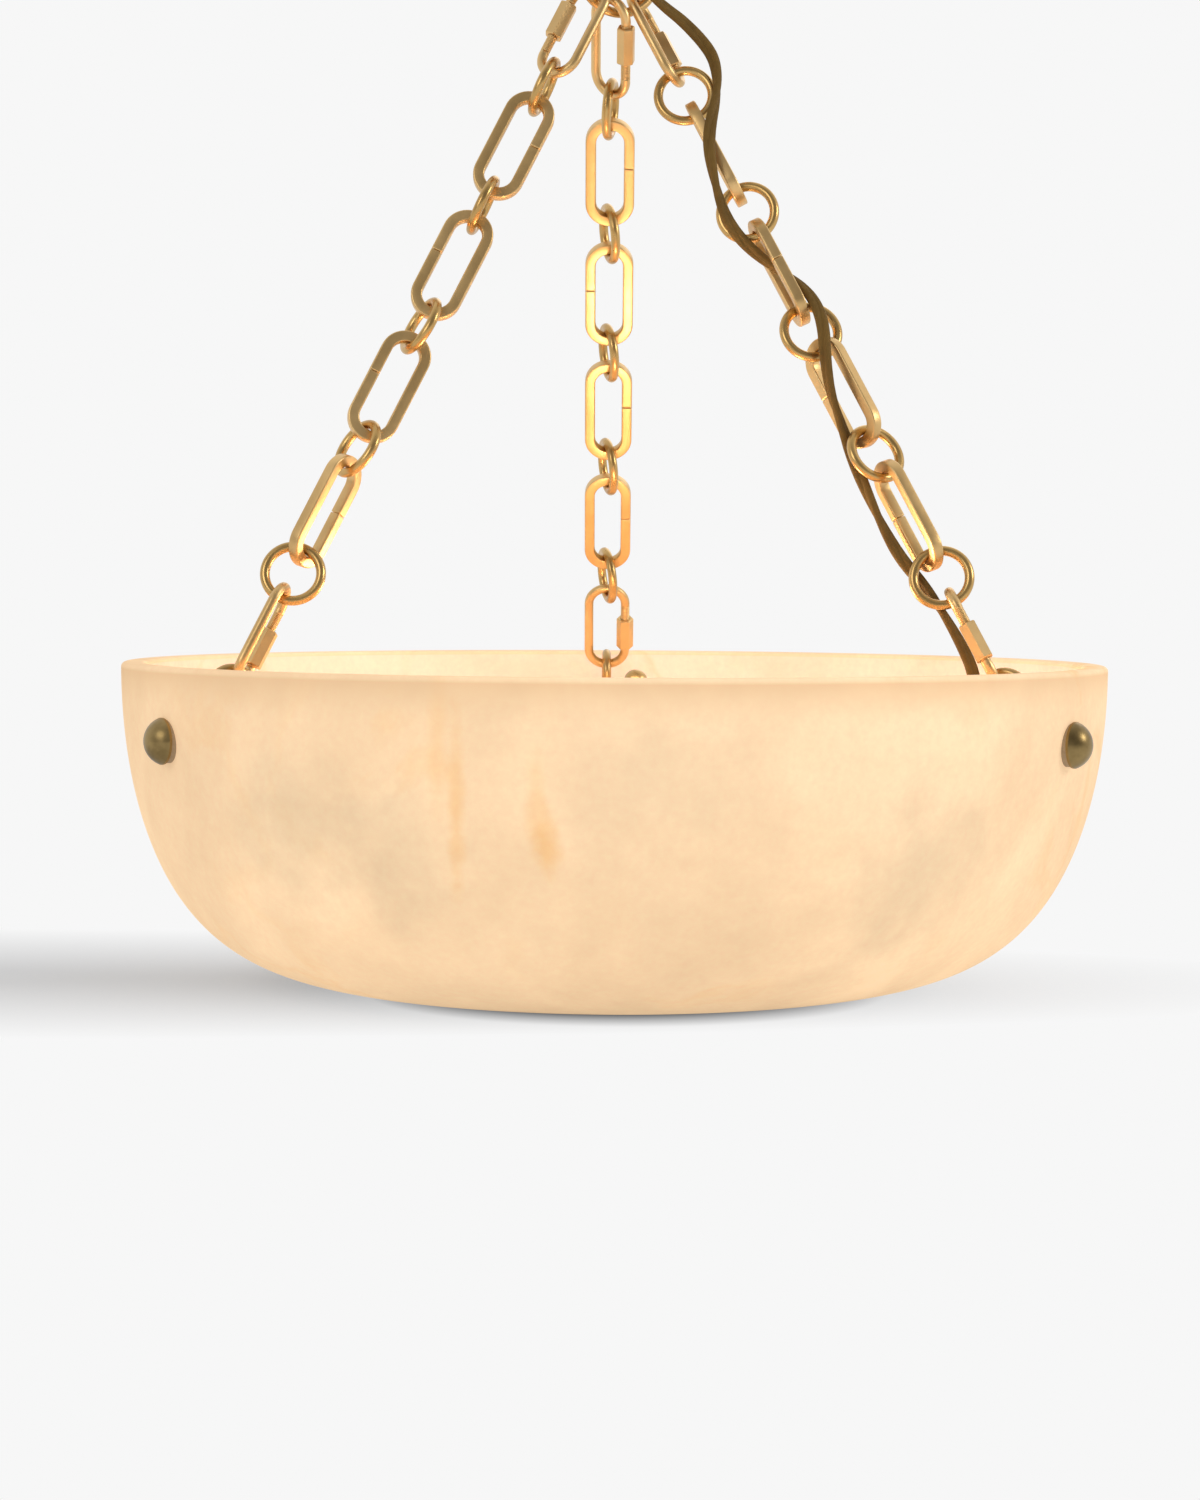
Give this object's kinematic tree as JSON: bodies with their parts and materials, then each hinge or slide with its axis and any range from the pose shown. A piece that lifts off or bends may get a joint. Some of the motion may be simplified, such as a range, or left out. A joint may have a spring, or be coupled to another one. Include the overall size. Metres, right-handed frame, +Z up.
{
  "type": "bowl pendant light",
  "caption": "Alabaster bowl uplight hung by mixed-link brass chains from a ring under a small ceiling canopy, with a cord woven down one chain to an upright lamp cluster",
  "frame": {"origin": "middle of the crossbar's two fixing slots, in the ceiling plane", "axes": "+Z up into the ceiling, +X to the right of a viewer who stands towards -Y, where two of the three chains come forward"},
  "size_m": [0.4999, 0.5091, 0.6004],
  "materials": {
    "antique_brass": "brown-olive antique finish, satin",
    "satin_brass": "aged satin brass",
    "zinc_steel": "zinc plated",
    "alabaster": "honed translucent cream stone with faint veins",
    "soft_washer": "soft grey-brown",
    "holder_plastic": "off-white",
    "block_plastic": "off-white",
    "opal_bulb": "opal white",
    "cord_fabric": "gold-brown twin-core cord"
  },
  "bodies": {
    "ceiling_mount": {"canopy": "antique_brass", "crossbar": "zinc_steel", "canopy_loop": "antique_brass", "loop_collar": "antique_brass", "shank_nuts": "zinc_steel", "canopy_cord_grip": "antique_brass", "terminal_block": "block_plastic"},
    "top_ring": {"top_ring": "antique_brass"},
    "pendant": {"quick_link_top_left": "satin_brass", "quick_link_top_right": "satin_brass", "quick_link_top_back": "satin_brass", "quick_link_bottom_left": "satin_brass", "quick_link_bottom_right": "satin_brass", "quick_link_bottom_back": "satin_brass", "ring_left_1": "satin_brass", "ring_left_2": "satin_brass", "ring_left_3": "satin_brass", "ring_left_4": "satin_brass", "ring_left_5": "satin_brass", "ring_right_1": "satin_brass", "ring_right_2": "satin_brass", "ring_right_3": "satin_brass", "ring_right_4": "satin_brass", "ring_right_5": "satin_brass", "ring_back_1": "satin_brass", "ring_back_2": "satin_brass", "ring_back_3": "satin_brass", "ring_back_4": "satin_brass", "ring_back_5": "satin_brass", "link_left_1": "satin_brass", "link_left_2": "satin_brass", "link_left_3": "satin_brass", "link_left_4": "satin_brass", "link_right_1": "satin_brass", "link_right_2": "satin_brass", "link_right_3": "satin_brass", "link_right_4": "satin_brass", "link_back_1": "satin_brass", "link_back_2": "satin_brass", "link_back_3": "satin_brass", "link_back_4": "satin_brass", "bowl": "alabaster", "hanger_eyes": "antique_brass", "wall_bolts": "zinc_steel", "dome_nuts": "antique_brass", "wall_washers": "soft_washer", "lamp_plate": "antique_brass", "lamp_stem": "antique_brass", "stem_finial": "antique_brass", "lampholders": "holder_plastic", "supply_cord": "cord_fabric"},
    "sleeve_top_left": {"sleeve_top_left": "satin_brass"},
    "sleeve_top_right": {"sleeve_top_right": "satin_brass"},
    "sleeve_top_back": {"sleeve_top_back": "satin_brass"},
    "sleeve_bottom_left": {"sleeve_bottom_left": "satin_brass"},
    "sleeve_bottom_right": {"sleeve_bottom_right": "satin_brass"},
    "sleeve_bottom_back": {"sleeve_bottom_back": "satin_brass"},
    "bulb_1": {"bulb_1": "opal_bulb"},
    "bulb_2": {"bulb_2": "opal_bulb"},
    "bulb_3": {"bulb_3": "opal_bulb"}
  },
  "joints": [
    {"name": "ring_swing", "type": "hinge", "parent": "ceiling_mount", "child": "top_ring", "pos_m": [0, 0, -0.0648], "axis": [-0.5, 0.866, 0], "range_deg": [-10, 10], "deforming": ["supply_cord"]},
    {"name": "pendant_swing", "type": "hinge", "parent": "top_ring", "child": "pendant", "pos_m": [0, 0, -0.1005], "axis": [0.866, 0.5, 0], "range_deg": [-7, 7], "deforming": ["supply_cord"]},
    {"name": "sleeve_top_left_travel", "type": "slide", "parent": "pendant", "child": "sleeve_top_left", "axis": [-0.4236, -0.2575, -0.8685], "range_m": [0, 0.009]},
    {"name": "sleeve_bottom_left_travel", "type": "slide", "parent": "pendant", "child": "sleeve_bottom_left", "axis": [0.4236, 0.2575, 0.8685], "range_m": [0, 0.009]},
    {"name": "sleeve_top_right_travel", "type": "slide", "parent": "pendant", "child": "sleeve_top_right", "axis": [-0.4399, 0.2722, 0.8558], "range_m": [0, 0.009]},
    {"name": "sleeve_bottom_right_travel", "type": "slide", "parent": "pendant", "child": "sleeve_bottom_right", "axis": [-0.4399, 0.2722, 0.8558], "range_m": [0, 0.009]},
    {"name": "sleeve_top_back_travel", "type": "slide", "parent": "pendant", "child": "sleeve_top_back", "axis": [-0.0023, 0.5351, -0.8448], "range_m": [0, 0.009]},
    {"name": "sleeve_bottom_back_travel", "type": "slide", "parent": "pendant", "child": "sleeve_bottom_back", "axis": [0.0023, -0.5351, 0.8448], "range_m": [0, 0.009]},
    {"name": "bulb_1_unscrew", "type": "slide", "parent": "pendant", "child": "bulb_1", "axis": [0, 0, 1], "range_m": [0, 0.018]},
    {"name": "bulb_2_unscrew", "type": "slide", "parent": "pendant", "child": "bulb_2", "axis": [0, 0, 1], "range_m": [0, 0.018]},
    {"name": "bulb_3_unscrew", "type": "slide", "parent": "pendant", "child": "bulb_3", "axis": [0, 0, 1], "range_m": [0, 0.018]}
  ]
}
